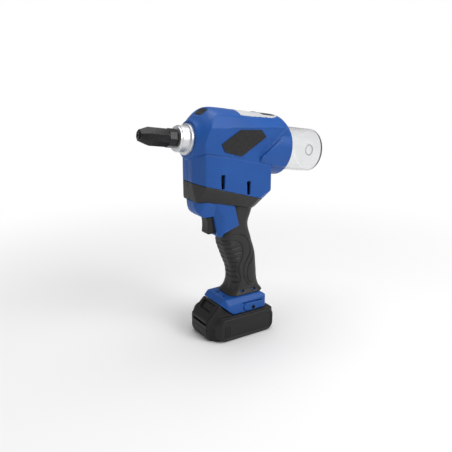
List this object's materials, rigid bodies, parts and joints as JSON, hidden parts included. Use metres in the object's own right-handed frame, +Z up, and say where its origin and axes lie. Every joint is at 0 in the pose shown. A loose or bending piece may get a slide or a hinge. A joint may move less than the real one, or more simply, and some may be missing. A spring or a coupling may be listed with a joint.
{
  "type": "battery rivet tool",
  "caption": "Pistol-grip battery tool that pulls blind rivets: tilted barrel with jaw nose, motor body, trigger, slide-on battery and clear bottle for spent mandrels.",
  "frame": {"origin": "middle of the flat base of the battery pack", "axes": "-X points to the nose, +Z up, so +Y is the right side of the tool seen from behind; the barrel lies in the plane Y=0"},
  "size_m": [0.2852, 0.078, 0.3295],
  "materials": {
    "blue_plastic": "moulded glass-filled nylon, satin, fine grain",
    "soft_grip": "soft overmould, matt with fine texture",
    "dark_plastic": "moulded plastic, fine spark-eroded grain",
    "badge_face": "bare smooth insert without any print",
    "panel_white": "light keypad foil",
    "display_glass": "dark tinted window",
    "button_grey": "soft-touch key",
    "dark_steel": "blackened steel, worn edges",
    "bright_aluminium": "turned, fine rings",
    "bright_steel": "ground steel",
    "clear_plastic": "clear moulded polycarbonate",
    "seal_rubber": "matt",
    "board_green": "solder mask",
    "cell_wrap": "shrink wrap"
  },
  "bodies": {
    "housing": {"nosepiece": "dark_steel", "nose_housing": "dark_steel", "lock_nut": "dark_steel", "front_collar": "bright_aluminium", "housing_left": "blue_plastic", "housing_right": "blue_plastic", "grip_left": "soft_grip", "grip_right": "soft_grip", "badge_left": "badge_face", "badge_right": "badge_face", "work_light_lens": "display_glass", "control_panel": "panel_white", "display_window": "display_glass", "guide_sleeve": "bright_steel", "front_bearing": "bright_steel", "rear_bearing": "bright_steel", "gear_frame": "bright_aluminium", "gear_cover": "bright_aluminium", "idler_shaft": "bright_steel", "ring_gear": "bright_steel", "motor_stator": "bright_steel", "motor_case": "bright_steel", "motor_end_cap": "dark_plastic", "trigger_switch": "dark_plastic", "wire_loom": "seal_rubber", "terminal_block": "dark_plastic", "control_board": "board_green", "hook_inserts": "dark_steel", "housing_screws": "dark_steel", "bottle_socket": "dark_plastic", "bottle_seal": "seal_rubber"},
    "spindle": {"jaw_case": "bright_steel", "spindle": "bright_steel", "guide_pins": "bright_steel", "mandrel_tube": "clear_plastic"},
    "pusher": {"jaw_pusher": "bright_steel", "pusher_spring": "bright_steel"},
    "jaw_a": {"jaw_1": "bright_steel"},
    "jaw_b": {"jaw_2": "bright_steel"},
    "jaw_c": {"jaw_3": "bright_steel"},
    "nut": {"spindle_nut": "bright_steel", "nut_gear": "bright_steel"},
    "idler": {"idler_gear": "bright_steel"},
    "output": {"output_shaft": "bright_steel", "drive_pinion": "bright_steel"},
    "planet_a": {"planet_gear_1": "bright_steel"},
    "planet_b": {"planet_gear_2": "bright_steel"},
    "planet_c": {"planet_gear_3": "bright_steel"},
    "rotor": {"motor_rotor": "bright_steel", "sun_gear": "bright_steel", "motor_fan": "dark_plastic"},
    "trigger": {"trigger": "dark_plastic"},
    "button": {"mode_button": "button_grey"},
    "battery": {"battery_upper_case": "dark_plastic", "battery_lower_case": "dark_plastic", "battery_pads": "dark_plastic", "battery_cells": "cell_wrap", "battery_board": "board_green"},
    "latch": {"battery_latch": "dark_plastic"},
    "bottle": {"collector_bottle": "clear_plastic"}
  },
  "joints": [
    {"name": "nut_spin", "type": "hinge", "parent": "housing", "child": "nut", "pos_m": [-0.03787, 0, 0.28357], "axis": [0.9881, 0, -0.154], "range_deg": [0, 1800]},
    {"name": "spindle_slide", "type": "slide", "parent": "housing", "child": "spindle", "axis": [0.9881, 0, -0.154], "range_m": [0, 0.025]},
    {"name": "idler_spin", "type": "hinge", "parent": "housing", "child": "idler", "pos_m": [-0.04249, 0, 0.25393], "axis": [0.9881, 0, -0.154], "range_deg": [-4200, 0]},
    {"name": "output_spin", "type": "hinge", "parent": "housing", "child": "output", "pos_m": [-0.03902, 0, 0.2372], "axis": [0.9881, 0, -0.154], "range_deg": [0, 5400]},
    {"name": "rotor_spin", "type": "hinge", "parent": "housing", "child": "rotor", "pos_m": [0.00841, 0, 0.22981], "axis": [0.9881, 0, -0.154], "range_deg": [0, 21600]},
    {"name": "planet_a_spin", "type": "hinge", "parent": "output", "child": "planet_a", "pos_m": [-0.02012, 0, 0.22211], "axis": [0.9881, 0, -0.154], "range_deg": [-16200, 0]},
    {"name": "planet_b_spin", "type": "hinge", "parent": "output", "child": "planet_b", "pos_m": [-0.01735, 0.01039, 0.23989], "axis": [0.9881, 0, -0.154], "range_deg": [-16200, 0]},
    {"name": "planet_c_spin", "type": "hinge", "parent": "output", "child": "planet_c", "pos_m": [-0.01735, -0.01039, 0.23989], "axis": [0.9881, 0, -0.154], "range_deg": [-16200, 0]},
    {"name": "pusher_slide", "type": "slide", "parent": "spindle", "child": "pusher", "axis": [0.9881, 0, -0.154], "range_m": [0, 0.002], "stiffness_N_per_m": 400, "springref_m": -0.004},
    {"name": "jaw_a_slide", "type": "slide", "parent": "spindle", "child": "jaw_a", "axis": [0.9997, 0, -0.0237], "range_m": [0, 0.00203]},
    {"name": "jaw_b_slide", "type": "slide", "parent": "spindle", "child": "jaw_b", "axis": [0.9696, -0.113, -0.2172], "range_m": [0, 0.00203]},
    {"name": "jaw_c_slide", "type": "slide", "parent": "spindle", "child": "jaw_c", "axis": [0.9696, 0.113, -0.2172], "range_m": [0, 0.00203]},
    {"name": "trigger_slide", "type": "slide", "parent": "housing", "child": "trigger", "axis": [1, 0, 0], "range_m": [0, 0.006], "stiffness_N_per_m": 1500, "springref_m": -0.003},
    {"name": "button_press", "type": "slide", "parent": "housing", "child": "button", "axis": [-0.154, 0, -0.9881], "range_m": [0, 0.0008], "stiffness_N_per_m": 2000, "springref_m": -0.0004},
    {"name": "pack_slide", "type": "slide", "parent": "housing", "child": "battery", "axis": [-1, 0, 0], "range_m": [0, 0.06]},
    {"name": "latch_press", "type": "slide", "parent": "battery", "child": "latch", "axis": [0.7232, 0, -0.6907], "range_m": [0, 0.003], "stiffness_N_per_m": 1500, "springref_m": -0.001},
    {"name": "bottle_twist", "type": "hinge", "parent": "housing", "child": "bottle", "pos_m": [0.09454, 0, 0.26293], "axis": [0.9881, 0, -0.154], "range_deg": [0, 45]}
  ],
  "couplings": [
    {"joint": "spindle_slide", "follows": "nut_spin", "m_per_rad": 0.00079577},
    {"joint": "idler_spin", "follows": "nut_spin", "ratio": -2.3333},
    {"joint": "output_spin", "follows": "nut_spin", "ratio": 3},
    {"joint": "rotor_spin", "follows": "nut_spin", "ratio": 12},
    {"joint": "planet_a_spin", "follows": "nut_spin", "ratio": -9},
    {"joint": "planet_b_spin", "follows": "nut_spin", "ratio": -9},
    {"joint": "planet_c_spin", "follows": "nut_spin", "ratio": -9},
    {"joint": "jaw_a_slide", "follows": "pusher_slide", "ratio": 1.0086},
    {"joint": "jaw_b_slide", "follows": "pusher_slide", "ratio": 1.0086},
    {"joint": "jaw_c_slide", "follows": "pusher_slide", "ratio": 1.0086}
  ]
}
